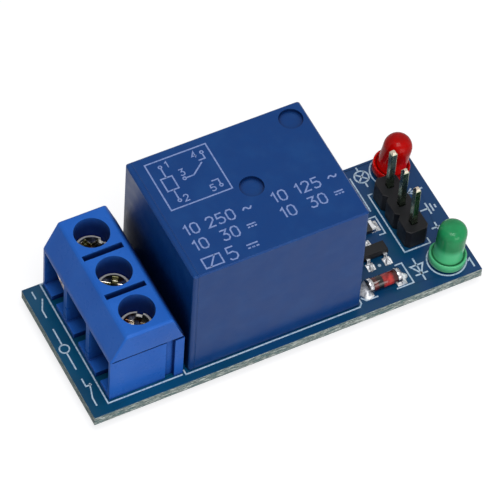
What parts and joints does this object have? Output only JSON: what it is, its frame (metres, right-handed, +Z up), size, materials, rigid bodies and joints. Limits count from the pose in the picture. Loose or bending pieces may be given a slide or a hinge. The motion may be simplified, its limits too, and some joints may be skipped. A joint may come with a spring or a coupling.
{
  "type": "relay module board",
  "caption": "Small circuit board with a sealed changeover relay, screw terminals, pin header and indicator lamps, for switching a load from a logic signal.",
  "frame": {"origin": "under the middle of the board, at the level of the trimmed pin ends that it stands on", "axes": "+X from the screw terminals to the pin header, +Z up out of the component side"},
  "size_m": [0.0432, 0.017, 0.0183],
  "materials": {
    "board_laminate": "blue solder mask over glass-epoxy laminate, satin",
    "solder": "bright tin solder",
    "terminal_plastic": "moulded blue, satin",
    "tinned_brass": "tin plated",
    "plated_steel": "zinc plated",
    "screw_steel": "nickel plated, worn bright",
    "relay_plastic": "moulded blue, satin with a fine grain",
    "relay_base_plastic": "moulded dark blue",
    "bobbin_plastic": "moulded natural",
    "copper_wire": "enamelled copper wire",
    "soft_iron": "nickel plated soft iron",
    "spring_bronze": "rolled copper alloy",
    "silver": "silver alloy",
    "contact_brass": "stamped brass",
    "header_plastic": "moulded black",
    "header_gold": "gold flashed",
    "red_epoxy": "diffusing red epoxy",
    "green_epoxy": "diffusing green epoxy",
    "tinned_steel": "tin plated",
    "diode_glass": "clear glass",
    "diode_stud_metal": "copper clad studs",
    "transistor_plastic": "moulded black",
    "resistor_ceramic": "black glazed alumina"
  },
  "bodies": {
    "board": {"circuit_board": "board_laminate", "through_hole_solder": "solder", "surface_solder": "solder", "terminal_housing": "terminal_plastic", "terminal_frame_1": "tinned_brass", "terminal_frame_2": "tinned_brass", "terminal_frame_3": "tinned_brass", "relay_cover": "relay_plastic", "relay_base": "relay_base_plastic", "coil_bobbin": "bobbin_plastic", "coil_winding": "copper_wire", "iron_core": "soft_iron", "yoke": "soft_iron", "open_contact_strip": "contact_brass", "closed_contact_strip": "contact_brass", "open_contact_button": "silver", "closed_contact_button": "silver", "common_pin": "tinned_brass", "coil_pins": "tinned_brass", "header_insulator": "header_plastic", "header_pins": "header_gold", "red_lamp_lens": "red_epoxy", "red_lamp_legs": "tinned_steel", "green_lamp_lens": "green_epoxy", "green_lamp_legs": "tinned_steel", "diode_glass": "diode_glass", "diode_caps": "tinned_steel", "diode_studs": "diode_stud_metal", "transistor_body": "transistor_plastic", "transistor_legs": "tinned_steel", "resistor_bodies": "resistor_ceramic", "resistor_ends": "tinned_steel"},
    "clamp_1": {"pressure_plate_1": "plated_steel"},
    "clamp_2": {"pressure_plate_2": "plated_steel"},
    "clamp_3": {"pressure_plate_3": "plated_steel"},
    "screw_1": {"terminal_screw_1": "screw_steel"},
    "screw_2": {"terminal_screw_2": "screw_steel"},
    "screw_3": {"terminal_screw_3": "screw_steel"},
    "relay_armature": {"armature": "soft_iron", "contact_spring": "spring_bronze", "moving_contact": "silver"}
  },
  "joints": [
    {"name": "clamp_1_travel", "type": "slide", "parent": "board", "child": "clamp_1", "axis": [0, 0, 1], "range_m": [0, 0.00249]},
    {"name": "screw_1_turn", "type": "hinge", "parent": "clamp_1", "child": "screw_1", "pos_m": [-0.0154, 0.00558, 0.0078], "axis": [0, 0, 1], "range_deg": [0, 1995]},
    {"name": "clamp_2_travel", "type": "slide", "parent": "board", "child": "clamp_2", "axis": [0, 0, 1], "range_m": [0, 0.00249]},
    {"name": "screw_2_turn", "type": "hinge", "parent": "clamp_2", "child": "screw_2", "pos_m": [-0.0154, 0.0005, 0.0078], "axis": [0, 0, 1], "range_deg": [0, 1995]},
    {"name": "clamp_3_travel", "type": "slide", "parent": "board", "child": "clamp_3", "axis": [0, 0, 1], "range_m": [0, 0.00249]},
    {"name": "screw_3_turn", "type": "hinge", "parent": "clamp_3", "child": "screw_3", "pos_m": [-0.0154, -0.00458, 0.0078], "axis": [0, 0, 1], "range_deg": [0, 1995]},
    {"name": "armature_hinge", "type": "hinge", "parent": "board", "child": "relay_armature", "pos_m": [0.00668, 0.0003, 0.01359], "axis": [0, -1, 0], "range_deg": [0, 3.2], "stiffness_Nm_per_rad": 0.001, "springref_deg": -34.38}
  ],
  "couplings": [
    {"joint": "screw_1_turn", "follows": "clamp_1_travel", "rad_per_m": 13963},
    {"joint": "screw_2_turn", "follows": "clamp_2_travel", "rad_per_m": 13963},
    {"joint": "screw_3_turn", "follows": "clamp_3_travel", "rad_per_m": 13963}
  ]
}
